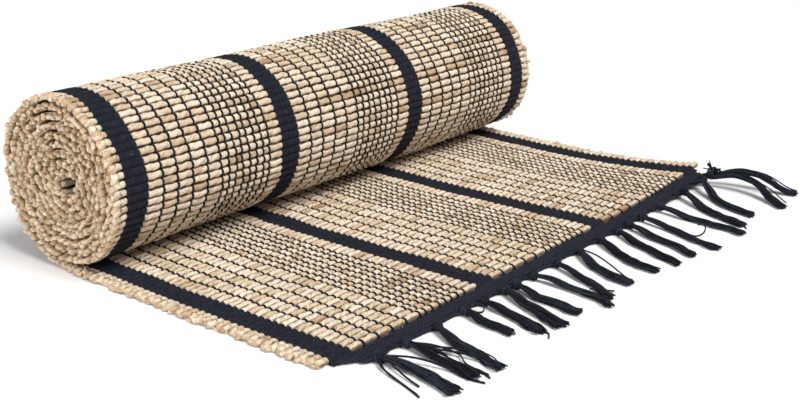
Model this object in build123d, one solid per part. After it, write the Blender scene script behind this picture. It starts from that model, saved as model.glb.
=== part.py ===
from build123d import *
import math
import os

# Runner rug, partly rolled up: soft fibre cords across the width, held by dark warp yarns.
#
# Everything is in millimetres, +Z up, with +X along the roll (across the rug). The fringe lies
# towards -Y. The origin is on the floor, below the middle of the whole object.
#
# The sheet of cords follows one mid-line, seen from the side: a flat run on the floor, then arcs
# that wind under, up the back, over the top, down the front and inwards to the core. The model
# is built with the outer turn's centre at y = 0, and moved to its origin at the end.

# ---- Driving dimensions ----------------------------------------------------------------------

rug_width = 700.0  # selvedge to selvedge
rug_length = 3000.0  # woven length with both plain bands, without the fringes
band_length = 22.0  # plain woven band at each end, as wide as the warps reach
band_margin = 1.5  # of a band, beyond the outermost warp yarns
band_thickness = 3.0

cord_count = 360  # fibre cords laid side by side along the rug
cord_diameter = 6.5
yarn_clearance = 0.05  # between a cord and the yarns over and under it
yarn_thickness = 0.45  # of the yarns on each face

flat_run = 334.9  # length of the cord field that lies flat in front of the roll
outer_radius = 82.9  # mid-line radius of the outer turn where it goes over the top
front_gap = 7.75  # from turn to turn at the front, where the roll is tight
back_gap = 10.2  # from turn to turn at the back, where the roll is loose
half_turns = 18  # arcs after the first quarter turn

stripe_width = 25.0
stripe_centres = [-322.5, -113.0, 101.5, 320.0]  # across the width, from the middle
wide_lines = 4  # warp lines with wide cells beside them, in each panel
close_lines = 8  # warp lines close together, in each panel
close_cell_ratio = 0.51  # a close cell's width over a wide cell's
line_width = 1.4  # of a warp line, a pair of thin yarns

knot_radius = 4.8
tassel_diameter = 7.0
tassel_bow = 0.05  # how far a tassel curves aside, over its reach

# Each tassel: where it leaves the band, how far its tip lies to the side, and its reach.
tassels = [
    (-303, -6, 90),
    (-266, -12, 86),
    (-222, -28, 94),
    (-178, -9, 62),
    (-149, -18, 80),
    (-114, -30, 88),
    (-95, -12, 84),
    (-65, -11, 98),
    (-22, -37, 90),
    (23, -38, 86),
    (67, -37, 90),
    (103, -40, 98),
    (129, -31, 100),
    (160, -28, 111),
    (202, -8, 112),
    (262, -45, 100),
    (310, -54, 94),
    (328, -24, 111),
    (341, -8, 104),
]

inner_tassel_count = 18
inner_tassel_diameter = 3.8
inner_tassel_length = 88.0
inner_tassel_lanes = [(-8.2, -5.0), (-6.3, -0.5), (-10.5, 3.2)]  # (y, z) off the roll's axis

# ---- Worked out from them --------------------------------------------------------------------

cord_radius = cord_diameter / 2
skin_inner = cord_radius + yarn_clearance
skin_outer = skin_inner + yarn_thickness
field_length = rug_length - 2 * band_length
cord_pitch = field_length / cord_count
bottom_radius = outer_radius + front_gap / 2
axis_height = bottom_radius + skin_outer
lean_back = math.pi / 2  # the angle of the roll's back, from its bottom
band_left = stripe_centres[0] - stripe_width / 2 - band_margin
band_right = stripe_centres[-1] + stripe_width / 2 + band_margin
band_width = band_right - band_left


def roll_arcs():
    """The roll's mid-line as (first angle, last angle, radius, centre y), from the outside in.

    Angles run from the bottom of the roll towards its back. The arcs meet at the front and the
    back, where the centre moves along Y by the change of radius, so the line stays smooth.
    """
    radius = bottom_radius
    centre = -front_gap / 2
    found = [(0.0, lean_back, radius, centre)]
    for turn in range(half_turns):
        from_back = turn % 2 == 0
        step = (front_gap if from_back else back_gap) / 2
        radius -= step
        centre += step if from_back else -step
        first = lean_back + turn * math.pi
        found.append((first, first + math.pi, radius, centre))
    return found


arcs = roll_arcs()
field_start_y = arcs[0][3] - flat_run  # the outermost cord's far edge, where the band begins


def length_to(angle):
    """The mid-line's length from the start of the cords to this angle of the roll."""
    passed = flat_run
    for first, last, radius, _ in arcs:
        if angle <= last:
            return passed + (angle - first) * radius
        passed += (last - first) * radius
    return passed


def stretches(start, end):
    """The mid-line between two lengths, as ("run", y, y) and ("arc", angle, angle, r, y)."""
    found = []
    if start < flat_run:
        found.append(("run", field_start_y + start, field_start_y + min(end, flat_run)))
    for first, last, radius, centre in arcs:
        begun = length_to(first)
        low = max(start, begun)
        high = min(end, length_to(last))
        if high > low:
            turned = [first + (length - begun) / radius for length in (low, high)]
            found.append(("arc", *turned, radius, centre))
    return found


def on_arc(angle, radius, centre):
    """The point of an arc at this angle, as (y, z)."""
    return centre + radius * math.sin(angle), axis_height - radius * math.cos(angle)


def mid_point(length):
    """The point of the mid-line at this length, as (y, z)."""
    kind, *numbers = stretches(0, length)[-1]
    if kind == "run":
        return numbers[1], skin_outer
    return on_arc(*numbers[1:])


def offset_edges(found, offset, x):
    """The mid-line's stretches at this x, moved off it, away from the roll's axis."""
    edges = []
    for kind, *numbers in found:
        if kind == "run":
            z = skin_outer - offset
            edges.append(Line((x, numbers[0], z), (x, numbers[1], z)))
        else:
            first, last, radius, centre = numbers
            angles = (first, (first + last) / 2, last)
            spots = [(x, *on_arc(angle, radius + offset, centre)) for angle in angles]
            edges.append(ThreePointArc(*spots))
    return edges


def strip(start, end, inner, outer, x_low, width):
    """A band that follows the sheet between two lengths, between two offsets from its middle."""
    found = stretches(start, end)
    near = offset_edges(found, inner, x_low)
    far = offset_edges(found, outer, x_low)
    caps = [Line(near[0] @ 0, far[0] @ 0), Line(near[-1] @ 1, far[-1] @ 1)]
    return extrude(Face(Wire(near + far + caps)), amount=width, dir=(1, 0, 0))


def yarns(start, end, middles, width):
    """Bands of yarn over and under the cords, centred on these places across the width."""
    return [
        strip(start, end, inner, outer, middle - width / 2, width)
        for middle in middles
        for inner, outer in ((-skin_outer, -skin_inner), (skin_inner, skin_outer))
    ]


def warp_lines(panel):
    """Where a panel's warp lines run: the wide group, then the close group."""
    left = stripe_centres[panel] + stripe_width / 2
    clear = stripe_centres[panel + 1] - stripe_width / 2 - left
    wide_cells = wide_lines + 2
    close_cells = close_lines - 1
    wide = clear / (wide_cells + close_cells * close_cell_ratio)
    first_close = left + wide * (wide_lines + 1)
    return (
        [left + wide * (line + 1) for line in range(wide_lines)],
        [first_close + wide * close_cell_ratio * line for line in range(close_lines)],
    )


def fibre_cord(length):
    """One cord, straight across the rug, at this length along the sheet."""
    return Pos(0, *mid_point(length)) * Rot(0, 90, 0) * Cylinder(cord_radius, rug_width)


def knot(root):
    """The knot that gathers one tassel's yarns at the band's edge."""
    return Pos(root, field_start_y - band_length - knot_radius, knot_radius) * Sphere(knot_radius)


def tassel(root, lean, reach):
    """A bundle of yarn ends that curves over the floor from its knot."""
    knot_y = field_start_y - band_length - knot_radius
    middle = Vector(root, knot_y, knot_radius)
    tip = Vector(root + lean, field_start_y - band_length - reach, tassel_diameter / 2)
    start = middle + (tip - middle).normalized() * knot_radius
    across = Vector(0, 0, 1).cross(tip - start).normalized()
    route = ThreePointArc(start, (start + tip) / 2 + across * (tassel_bow * reach), tip)
    return sweep(Plane(origin=start, z_dir=route % 0) * Circle(tassel_diameter / 2), route)


def inner_tassel(place):
    """A bundle of the inner fringe, tucked lengthwise into the core."""
    spare = rug_width - inner_tassel_length
    x = -spare / 2 + spare * place / (inner_tassel_count - 1)
    y, z = inner_tassel_lanes[place % len(inner_tassel_lanes)]
    shape = Cylinder(inner_tassel_diameter / 2, inner_tassel_length)
    return Pos(x, y, axis_height + z) * Rot(0, 90, 0) * shape


def cords_by_turn():
    """The cords in groups, by where they lie: the flat part, then each turn of the roll."""
    groups = {"weft_cords_flat": []}
    for place in range(cord_count):
        length = (place + 0.5) * cord_pitch
        turn = 0
        while length > length_to(2 * math.pi * turn):
            turn += 1
        name = f"weft_cords_turn_{turn}" if turn else "weft_cords_flat"
        groups.setdefault(name, []).append(fibre_cord(length))
    return groups


def build():
    """Every node's solids, by the node's name."""
    nodes = cords_by_turn()
    for part, start, end in (("flat", 0, flat_run), ("roll", flat_run, field_length)):
        for place, middle in enumerate(stripe_centres):
            nodes[f"stripe_{place + 1}_{part}"] = yarns(start, end, [middle], stripe_width)
        for panel in range(len(stripe_centres) - 1):
            wide, close = warp_lines(panel)
            label = f"panel_{panel + 1}"
            nodes[f"{label}_wide_warps_{part}"] = yarns(start, end, wide, line_width)
            nodes[f"{label}_close_warps_{part}"] = yarns(start, end, close, line_width)

    band_x = (band_left + band_right) / 2
    band_y = field_start_y - band_length / 2
    outer_band = Box(band_width, band_length, band_thickness)
    nodes["outer_end_band"] = [Pos(band_x, band_y, band_thickness / 2) * outer_band]
    nodes["outer_fringe_knots"] = [knot(root) for root, _, _ in tassels]
    for place, numbers in enumerate(tassels):
        nodes[f"tassel_{place + 1:02d}"] = [tassel(*numbers)]

    half = band_thickness / 2
    core_end = field_length + band_length
    nodes["inner_end_band"] = [
        strip(field_length, core_end, -half, half, band_left, band_width)
    ]
    nodes["inner_fringe"] = [inner_tassel(place) for place in range(inner_tassel_count)]
    return nodes


nodes = {name: Compound(solids) for name, solids in build().items()}
box = Compound(list(nodes.values())).bounding_box()
to_origin = Pos(-box.center().X, -box.center().Y, -box.min.Z)
print("box", box.size, "moved by", to_origin.position)

os.makedirs("parts", exist_ok=True)
for name, node in nodes.items():
    export_step(to_origin * node, f"parts/{name}.step")
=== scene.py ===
import math

import bpy
import numpy as np
from bpy.props import FloatProperty, FloatVectorProperty, IntProperty, PointerProperty
from bpy.types import Operator, Panel, PropertyGroup
from mathutils import Matrix, Vector


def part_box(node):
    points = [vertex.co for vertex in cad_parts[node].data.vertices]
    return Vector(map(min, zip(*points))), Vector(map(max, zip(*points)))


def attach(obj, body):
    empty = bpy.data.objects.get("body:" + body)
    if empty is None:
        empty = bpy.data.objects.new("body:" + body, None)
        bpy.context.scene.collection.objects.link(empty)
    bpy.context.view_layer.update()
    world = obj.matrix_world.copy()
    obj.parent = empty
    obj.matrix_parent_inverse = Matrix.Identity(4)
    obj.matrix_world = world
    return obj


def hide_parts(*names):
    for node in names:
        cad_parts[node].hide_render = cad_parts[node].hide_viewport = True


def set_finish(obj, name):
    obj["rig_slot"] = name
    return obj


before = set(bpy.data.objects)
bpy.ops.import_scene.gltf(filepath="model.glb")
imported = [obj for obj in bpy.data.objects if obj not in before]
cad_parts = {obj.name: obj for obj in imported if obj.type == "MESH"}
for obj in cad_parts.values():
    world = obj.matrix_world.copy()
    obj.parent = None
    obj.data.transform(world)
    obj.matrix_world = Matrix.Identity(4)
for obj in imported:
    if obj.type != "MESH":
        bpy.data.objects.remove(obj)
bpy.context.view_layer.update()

# Runner rug, partly rolled up: twisted fibre cords across the width, dark warp yarns along the
# length, and a knotted fringe. Everything is in metres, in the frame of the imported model: +X
# along the roll, -Y from the roll towards the open fringe, +Z up.

bl_info = {
    "name": "Runner rug",
    "version": (1, 0, 0),
    "blender": (4, 5, 0),
    "location": "3D View > Sidebar > Runner rug",
    "description": "Weaves a fibre-cord runner rug, partly rolled up, with a knotted fringe",
    "category": "Add Mesh",
}

MM = 0.001
TURN = 2 * math.pi

# ---- The sheet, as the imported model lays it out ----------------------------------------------

BAND_LOW, BAND_HIGH = (Vector(corner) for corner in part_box("outer_end_band"))
CORDS_LOW, CORDS_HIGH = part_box("weft_cords_flat")
RUG_WIDTH = CORDS_HIGH[0] - CORDS_LOW[0]
FIELD_START_Y = BAND_HIGH.y  # the cords begin here, at the open end's woven band
HALF_SHEET = 3.75 * MM  # from the middle of the sheet to its face
FLAT_RUN = 334.9 * MM
OUTER_RADIUS = 82.9 * MM
FRONT_GAP, BACK_GAP = 7.75 * MM, 10.2 * MM
HALF_TURNS = 18
FIELD_LENGTH = 2956 * MM
CORD_COUNT = 360
PITCH = FIELD_LENGTH / CORD_COUNT
BOTTOM_RADIUS = OUTER_RADIUS + FRONT_GAP / 2
AXIS_HEIGHT = BOTTOM_RADIUS + HALF_SHEET
AXIS_Y = FIELD_START_Y + FLAT_RUN + FRONT_GAP / 2
FLAT_CORDS = 41  # cords that lie flat
TURN_CORDS = 104  # cords that lie flat or in the outer turn, which can be seen
BACK_CORDS = 31  # of them, those under and behind the roll

STRIPES = 4
WIDE_LINES, CLOSE_LINES = 4, 8
CLOSE_CELL_RATIO = 0.51
PANELS = STRIPES - 1


def stripe_edges():
    """The left and right edges of the stripes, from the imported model."""
    found = []
    for number in range(1, STRIPES + 1):
        low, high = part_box(f"stripe_{number}_flat")
        found.append((low[0], high[0]))
    return found


STRIPE_EDGES = stripe_edges()


def panel_lines(panel):
    """Where a panel's warp lines run at rest: four far apart, then eight close together."""
    left, right = STRIPE_EDGES[panel][1], STRIPE_EDGES[panel + 1][0]
    wide = (right - left) / (WIDE_LINES + 2 + (CLOSE_LINES - 1) * CLOSE_CELL_RATIO)
    lines = [left + wide * (n + 1) for n in range(WIDE_LINES + 1)]
    return lines + [lines[-1] + wide * CLOSE_CELL_RATIO * (n + 1) for n in range(CLOSE_LINES - 1)]


def roll_arcs():
    """The roll's mid-line as (length where it begins, first angle, radius, centre y)."""
    radius, centre = BOTTOM_RADIUS, AXIS_Y - FRONT_GAP / 2
    found = [(FLAT_RUN, 0.0, radius, centre)]
    begun = FLAT_RUN + radius * math.pi / 2
    for turn in range(HALF_TURNS + 2):
        step = (BACK_GAP if turn % 2 else FRONT_GAP) / 2
        radius -= step
        if radius <= 0:
            break
        centre += -step if turn % 2 else step
        found.append((begun, math.pi / 2 + turn * math.pi, radius, centre))
        begun += radius * math.pi
    return found


ARCS = roll_arcs()


def on_sheet(length):
    """The middle of the sheet at these lengths: (y, z), the way along it and the way out.

    The way out points away from the roll's axis, so it is downwards where the rug lies flat.
    """
    length = np.asarray(length, float)
    y, z = FIELD_START_Y + length, np.full_like(length, HALF_SHEET)
    angle = np.zeros_like(length)
    for begun, first, radius, centre in ARCS:
        here = length > begun
        turned = first + (length - begun) / radius
        angle = np.where(here, turned, angle)
        y = np.where(here, centre + radius * np.sin(turned), y)
        z = np.where(here, AXIS_HEIGHT - radius * np.cos(turned), z)
    zero = np.zeros_like(length)
    spot = np.stack([zero, y, z], -1)
    along = np.stack([zero, np.cos(angle), np.sin(angle)], -1)
    out = np.stack([zero, np.sin(angle), -np.cos(angle)], -1)
    return spot, along, out


END_DRIFT = 10 * MM  # of the far selvedge's warps, towards +X, at the open end
MIDDLE_DRIFT = 5 * MM  # of all the warps, towards -X, in the middle of the flat part
STRAIGHT_AGAIN = 1.3  # where the warps run straight again, over the flat run


def line_shift(x, length):
    """How far hand weaving and handling pull a warp line aside where the rug lies flat."""
    share = np.clip(length / FLAT_RUN, 0, STRAIGHT_AGAIN)
    across = np.clip(x / RUG_WIDTH + 0.5, 0, 1)
    drift = END_DRIFT * across**1.6 * (1 - np.minimum(share, 1)) ** 3
    return drift - MIDDLE_DRIFT * np.sin(math.pi * share / STRAIGHT_AGAIN) ** 2


CORNER_LIFT = 11 * MM
CURL_START, CURL_WIDTH = 0.10, 0.24  # across the rug, from its middle
CURL_LENGTH = 150 * MM  # along the rug, from the open end


def corner_lift(x, length):
    """How far the far corner of the open end curls up off the floor."""
    across = np.clip((x - CURL_START) / CURL_WIDTH, 0, 1.1)
    near = np.clip(1 - length / CURL_LENGTH, 0, 1.15)
    return CORNER_LIFT * across**2 * near**1.5


class Sway:
    """A gentle, repeatable wandering: a few sine waves with random phases."""

    def __init__(self, seed, size, wavelength):
        draw = np.random.default_rng(seed)
        self.sizes = size * draw.uniform(0.3, 0.7, 4)
        self.rates = TURN / (wavelength * draw.uniform(0.6, 1.8, 4))
        self.phases = draw.uniform(0, TURN, 4)

    def __call__(self, length):
        waves = np.sin(np.multiply.outer(length, self.rates) + self.phases)
        return waves @ self.sizes


# ---- Mesh making -----------------------------------------------------------------------------


class Skin:
    """Gathers tubes of rings, and makes one mesh object from them all."""

    def __init__(self):
        self.points, self.places, self.loops, self.sizes, self.maps = [], [], [], [], []
        self.shades = []
        self.count = 0

    def tubes(self, rings, places, tint, rows=(0.0, 1.0)):
        """Closed tubes from rings of shape (tubes, rings, sides, 3), capped at both ends.

        places holds each point's place in its own fibre or yarn, and tint how light it is, for
        the material. rows is the part of the bake map that these tubes fill, from bottom to top.
        """
        tubes, length, sides, _ = rings.shape
        caps = rings[:, [0, -1]].mean(2)
        cap_places = places[:, [0, -1]].mean(2)
        tint = np.broadcast_to(tint, rings.shape[:3]).copy()
        cap_tint = tint[:, [0, -1]].mean(2)
        self.shades.append(np.concatenate([tint.reshape(tubes, -1), cap_tint], 1).ravel())
        per_tube = length * sides + 2
        points = np.concatenate([rings.reshape(tubes, -1, 3), caps], 1)
        place = np.concatenate([places.reshape(tubes, -1, 3), cap_places], 1)
        ring, side = np.meshgrid(np.arange(length - 1), np.arange(sides), indexing="ij")
        after = (side + 1) % sides
        quads = np.stack(
            [ring * sides + side, (ring + 1) * sides + side,
             (ring + 1) * sides + after, ring * sides + after], -1
        ).reshape(-1, 4)
        around = np.arange(sides)
        first, last = length * sides, length * sides + 1
        end = (length - 1) * sides
        start_cap = np.stack([around, (around + 1) % sides, np.full(sides, first)], -1)
        end_cap = np.stack([end + (around + 1) % sides, end + around, np.full(sides, last)], -1)
        corners = np.concatenate([quads.ravel(), start_cap.ravel(), end_cap.ravel()])
        sizes = np.concatenate([np.full(len(quads), 4), np.full(2 * sides, 3)])

        u = np.stack([ring, ring + 1, ring + 1, ring], -1).reshape(-1) + 1.0
        v = np.stack([side, side, side + 1, side + 1], -1).reshape(-1).astype(float)
        cap_v = np.stack([around, around + 1, around + 0.5], -1).ravel()
        end_v = np.stack([around + 1, around, around + 0.5], -1).ravel()
        cap_u = np.tile([1.0, 1.0, 0.2], sides)
        end_u = np.tile([float(length), float(length), length + 0.8], sides)
        u = np.concatenate([u, cap_u, end_u]) / (length + 1)
        v = np.concatenate([v, cap_v, end_v]) / sides * 0.94 + 0.03
        low, high = rows
        v = low + (np.arange(tubes)[:, None] + v[None]) / tubes * (high - low)

        offsets = self.count + np.arange(tubes)[:, None] * per_tube
        self.points.append(points.reshape(-1, 3))
        self.places.append(place.reshape(-1, 3))
        self.loops.append((corners[None] + offsets).ravel())
        self.sizes.append(np.tile(sizes, tubes))
        self.maps.append(np.stack([np.tile(u, tubes), v.ravel()], -1))
        self.count += tubes * per_tube

    def make(self, name, material, nodes, slot):
        """One object from everything gathered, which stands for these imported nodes."""
        mesh = bpy.data.meshes.new(name)
        points, loops = np.concatenate(self.points), np.concatenate(self.loops)
        sizes = np.concatenate(self.sizes)
        mesh.vertices.add(len(points))
        mesh.vertices.foreach_set("co", points.astype(np.float32).ravel())
        mesh.loops.add(len(loops))
        mesh.loops.foreach_set("vertex_index", loops.astype(np.int32))
        mesh.polygons.add(len(sizes))
        starts = np.concatenate([[0], np.cumsum(sizes)[:-1]])
        mesh.polygons.foreach_set("loop_start", starts.astype(np.int32))
        mesh.polygons.foreach_set("use_smooth", np.ones(len(sizes), bool))
        layer = mesh.uv_layers.new(name="OFBake")
        layer.uv.foreach_set("vector", np.concatenate(self.maps).astype(np.float32).ravel())
        place = mesh.attributes.new("yarn_place", "FLOAT_VECTOR", "POINT")
        place.data.foreach_set("vector", np.concatenate(self.places).astype(np.float32).ravel())
        tint = mesh.attributes.new("yarn_tint", "FLOAT", "POINT")
        tint.data.foreach_set("value", np.concatenate(self.shades).astype(np.float32))
        mesh.update(calc_edges=True)
        mesh.validate()
        mesh.materials.append(material)
        piece = bpy.data.objects.new(name, mesh)
        bpy.context.scene.collection.objects.link(piece)
        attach(piece, "root")
        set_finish(piece, slot)
        if nodes:
            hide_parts(*nodes)
        return piece


def keep_off_floor(points, gap):
    """Raises the points that would sink into the floor to this height above it."""
    points[..., 2] = np.maximum(points[..., 2], gap)


# ---- Where cords and yarns lie ---------------------------------------------------------------

EDGE = RUG_WIDTH / 2
ANCHORS = sorted(
    [-EDGE, EDGE]
    + [edge for pair in STRIPE_EDGES for edge in pair]
    + [x for panel in range(PANELS) for x in panel_lines(panel)]
)
WANDER_SIZE, WANDER_LENGTH = 0.8 * MM, 70 * MM
WANDERS = [Sway(100 + place, WANDER_SIZE, WANDER_LENGTH) for place in range(len(ANCHORS))]
SWELLS = np.random.default_rng(7)
SWELL_SIZE = 0.33 * MM
SWELL_START, SWELL_BLEND = 30 * MM, 90 * MM  # along the sheet, from where the roll begins
SWELL_WAVES = [
    (TURN / wide, TURN / long, phase)
    for wide, long, phase in zip(
        SWELLS.uniform(0.2, 0.6, 6) * SWELLS.choice([-1, 1], 6),
        SWELLS.uniform(0.07, 0.2, 6),
        SWELLS.uniform(0, TURN, 6),
    )
]


def swell(x, length):
    """How far the sheet's middle moves outwards: the roll's swells, less the curled corner.

    Outwards is downwards where the rug lies flat.
    """
    waves = sum(np.sin(across * x + along * length + phase)
                for across, along, phase in SWELL_WAVES)
    rolled = np.clip((length - FLAT_RUN - SWELL_START) / SWELL_BLEND, 0, 1)
    return SWELL_SIZE * waves * rolled - corner_lift(x, length)


def anchor_places(lengths):
    """Where the stripe edges and warp lines run at these lengths: (lengths, anchors)."""
    found = []
    for x, wander in zip(ANCHORS, WANDERS):
        hold = 1 - 0.5 * (abs(x) / EDGE) ** 6
        aside = np.where(lengths < FLAT_RUN * STRAIGHT_AGAIN, line_shift(x, lengths) * hold, 0.0)
        found.append(x + aside + wander(lengths))
    return np.stack(found, -1)


def moved(x, lengths):
    """Places x at rest, moved aside with the anchors around them: (lengths, places)."""
    right = np.clip(np.searchsorted(ANCHORS, x), 1, len(ANCHORS) - 1)
    rest = np.array(ANCHORS)
    share = (x - rest[right - 1]) / (rest[right] - rest[right - 1])
    there = anchor_places(lengths)
    return there[:, right - 1] * (1 - share) + there[:, right] * share


# Where a seen cord's rings lie in a cell, from each of its edges, in millimetres.
WIDE_CELL_RINGS = (1.5, 3.2, 5.3, 7.6)
CLOSE_CELL_RINGS = (1.4, 3.2)
WIDE_CELL = 14 * MM  # a cell wider than this also has a ring in its middle
PINCH = 2.2 * MM  # how far from a warp line a cord is still drawn in


def cord_marks(coarse):
    """Where the rings of a cord lie across the width, as (x, fullness, cell number)."""
    marks = []
    lines = set(ANCHORS) - {edge for pair in STRIPE_EDGES for edge in pair} - {-EDGE, EDGE}
    for cell, (left, right) in enumerate(zip(ANCHORS, ANCHORS[1:])):
        wide = right - left
        if (left, right) in STRIPE_EDGES:
            marks += [(left + wide * share, 0.25, cell) for share in (0.04, 0.96)]
            continue
        if coarse:
            near = [0.3 * wide, 0.7 * wide] if cell in (0, len(ANCHORS) - 2) else [0.5 * wide]
            marks += [(left + inset, 0.9, cell) for inset in near]
            continue
        insets = WIDE_CELL_RINGS if wide > WIDE_CELL else CLOSE_CELL_RINGS
        spots = [inset * MM for inset in insets] + [wide - inset * MM for inset in insets[::-1]]
        if wide > WIDE_CELL:
            spots.insert(len(insets), wide / 2)
        for inset in spots:
            clear = min(inset, wide - inset)
            marks.append((left + inset, 1 - math.exp(-((clear / PINCH) ** 1.7)), cell))
        if right in lines:
            marks.append((right, 0.0, cell))
    return [np.array(column) for column in zip(*marks)]


ROUNDNESS = 0.84  # of a cord's section: 1 is a circle, and less is squarer


def shaped(angle):
    """A circle's point at this angle, squared off a little."""
    return [np.sign(part) * abs(part) ** ROUNDNESS for part in (np.cos(angle), np.sin(angle))]


PLY_LEAD = 26 * MM  # length over which a cord's fibres turn once around it
PLY_RELIEF = 0.12  # how far a cord's two plies stand out, over its half size
SECTION = (-144, -98, -60, -20, 20, 60, 98, 144)  # a seen cord's corners, from its outer face
HIDDEN_SIDES = 7
# A cord's half size in millimetres, along the sheet and out of it: under a warp yarn, and what
# the middle of a cell adds to that.
PINCHED_ALONG, PINCHED_OUT = 2.95, 2.3
PLUMP_ALONG, PLUMP_OUT = 0.80, 1.4
OLD_CORDS = 0.05  # share of the cells where the fibre is old and dark
DARK_ROW, DARK_ROW_WIDTH = 58 * MM, 9 * MM  # a few darker cords, from the open end


def fibre_cords(skin, cords, seed, faces_up=False, coarse=False):
    """Adds these cords to a skin: plump in each cell, drawn in under each warp line."""
    draw = np.random.default_rng(seed)
    x, full, cell = cord_marks(coarse)
    cell = cell.astype(int)
    lengths = (cords + 0.5) * PITCH
    across = moved(x, lengths)
    spot, along, out = on_sheet(lengths)
    shape = across.shape
    cells = cell.max() + 1

    seen = -math.pi / 2 if faces_up else math.pi / 2
    if coarse:
        angles = seen + np.arange(HIDDEN_SIDES) * TURN / HIDDEN_SIDES
    else:
        angles = seen + np.radians(SECTION)
    wide, high = shaped(angles)

    def by_cell():
        """A random number for each cell of each cord, the same at all of the cell's rings."""
        return draw.standard_normal((len(cords), cells))[:, cell]

    half_along = (PINCHED_ALONG + PLUMP_ALONG * full * (1 + 0.10 * by_cell())) * MM
    half_out = (PINCHED_OUT + PLUMP_OUT * full * (1 + 0.09 * by_cell())) * MM
    nudge = 0.4 * MM * np.stack([by_cell(), by_cell()]) * full
    lumps = 1 + 0.04 * draw.standard_normal((*shape, len(angles))) * full[:, None]
    begins = 1.7 * cords[:, None] + 0.013 * by_cell()
    turned = TURN * (across + begins) / PLY_LEAD
    plies = 1 + PLY_RELIEF * np.cos(2 * angles - 2 * turned[..., None]) * full[:, None] - 0.03
    ring = lumps * plies

    centre = np.zeros((*shape, 3)) + spot[:, None]
    centre[..., 0] = across
    centre += (nudge[0] * 0.5)[..., None] * along[:, None]
    centre += (nudge[1] * 0.6 + swell(across, lengths[:, None]))[..., None] * out[:, None]
    aside = (half_along[..., None] * ring * wide)[..., None] * along[:, None, None]
    upwards = (half_out[..., None] * ring * high)[..., None] * out[:, None, None]
    points = centre[:, :, None] + aside + upwards
    keep_off_floor(points, 0.1 * MM)

    places = np.empty_like(points)
    places[..., 0] = (across + begins)[..., None]
    places[..., 1] = half_along[..., None] * wide
    places[..., 2] = half_out[..., None] * high
    tint = 0.45 * draw.standard_normal((len(cords), 1)) + 0.7 * by_cell()
    tint -= 1.6 * (draw.random((len(cords), cells)) < OLD_CORDS)[:, cell]
    dark_row = np.exp(-(((lengths[:, None] - DARK_ROW) / DARK_ROW_WIDTH) ** 2))
    tint -= 1.1 * dark_row * (0.6 + 0.4 * np.sin(across * 31))
    skin.tubes(points, places, tint[..., None])


def yarn_tubes(skin, x, lengths, rise, half_wide, half_high, sides, tint, rows):
    """Adds yarns that run along the sheet, from (yarns, rings) of places and rises off it."""
    spot, _, out = on_sheet(lengths)
    centre = np.zeros((*x.shape, 3)) + spot
    centre[..., 0] = x
    centre += (rise + swell(x, lengths))[..., None] * out
    way = np.gradient(centre, axis=1)
    way[..., 0] *= 0.2
    way /= np.linalg.norm(way, axis=-1, keepdims=True)
    side = np.zeros(3) + (1, 0, 0)
    top = np.cross(way, side)
    angles = (np.arange(sides) + 0.5) * TURN / sides
    wide, high = np.cos(angles) * half_wide, np.sin(angles) * half_high
    points = centre[:, :, None] + wide[:, None] * side + high[:, None] * top[:, :, None]
    keep_off_floor(points, 0.05 * MM)
    places = np.empty_like(points)
    places[..., 0] = (lengths + 2.3 * np.arange(len(x))[:, None])[..., None]
    places[..., 1], places[..., 2] = wide, high
    skin.tubes(points, places, tint[:, None, None], rows)


WEAVE_POINTS = 4  # points along a seen yarn, to each cord that it crosses


def weave_lengths():
    """Lengths along the seen part of the sheet, and the weave's rise at each, from -1 to 1."""
    lengths = (np.arange(TURN_CORDS * WEAVE_POINTS) + 0.5) * (PITCH / WEAVE_POINTS)
    beat = np.cos(math.pi * (lengths / PITCH - 0.5))
    return lengths, np.sign(beat) * abs(beat) ** 0.7


LEAD_IN = ((-5.5, 2.0), (-2.0, 1.2))  # where a warp enters the band, and its rise, in mm
LEAD_PLACES, LEAD_RISES = (np.array(column) * MM for column in zip(*LEAD_IN))


def woven_pairs(skin, anchors_at, offsets, rise, half_wide, half_high, sides, seed):
    """Adds pairs of yarns that pass over and under the cords, one of each pair on each side.

    anchors_at gives a yarn's place across the width at any length, and offsets what is added
    for each yarn of a pair.
    """
    draw = np.random.default_rng(seed)
    lengths, beat = weave_lengths()
    lengths = np.concatenate([LEAD_PLACES, lengths])
    places = anchors_at(lengths)
    many = places.shape[1]
    for sign, offset in zip((1, -1), offsets):
        high = rise * beat[None] * sign * (1 + 0.05 * draw.standard_normal((many, 1)))
        high = np.concatenate([np.tile(LEAD_RISES, (many, 1)), high], 1)
        x = places.T + offset + 0.07 * MM * draw.standard_normal(places.T.shape)
        tint = draw.standard_normal(many)
        share = (0.0, 0.4) if sign > 0 else (0.4, 0.8)
        yarn_tubes(skin, x, np.tile(lengths, (many, 1)), high, half_wide, half_high, sides,
                   tint, share)


INNER_POINTS = 170  # points along a hidden yarn
INNER_RISE, INNER_HALF = 3.1 * MM, 0.4 * MM  # off the sheet's middle, and half its thickness


def inner_yarns(skin, places, half_wide, seed):
    """Adds the yarns of the inner turns, where the layers hide them, as one band on each face."""
    lengths = np.linspace(TURN_CORDS * PITCH, FIELD_LENGTH, INNER_POINTS)
    x = np.repeat(np.asarray(places)[:, None], len(lengths), 1)
    tint = np.random.default_rng(seed).standard_normal(len(places))
    for side, rows in ((1, (0.8, 0.9)), (-1, (0.9, 1.0))):
        yarn_tubes(skin, x, np.tile(lengths, (len(places), 1)), side * INNER_RISE,
                   half_wide, INNER_HALF, 4, tint, rows)


# ---- Cord ends, bands and fringe -------------------------------------------------------------


END_STRANDS = 2
END_SIDES = 7
END_DEPTH = 8 * MM  # how far a strand reaches back into its cord
# A strand's rings: how far each lies from its tip in millimetres, and its share of the radius.
END_RINGS = ((-8.0, 0.85), (-3.5, 1.1), (-1.2, 0.95), (0.0, 0.5))
END_WIDTH, END_HEIGHT = 1.15, 0.82  # a strand's section, over its radius


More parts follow.
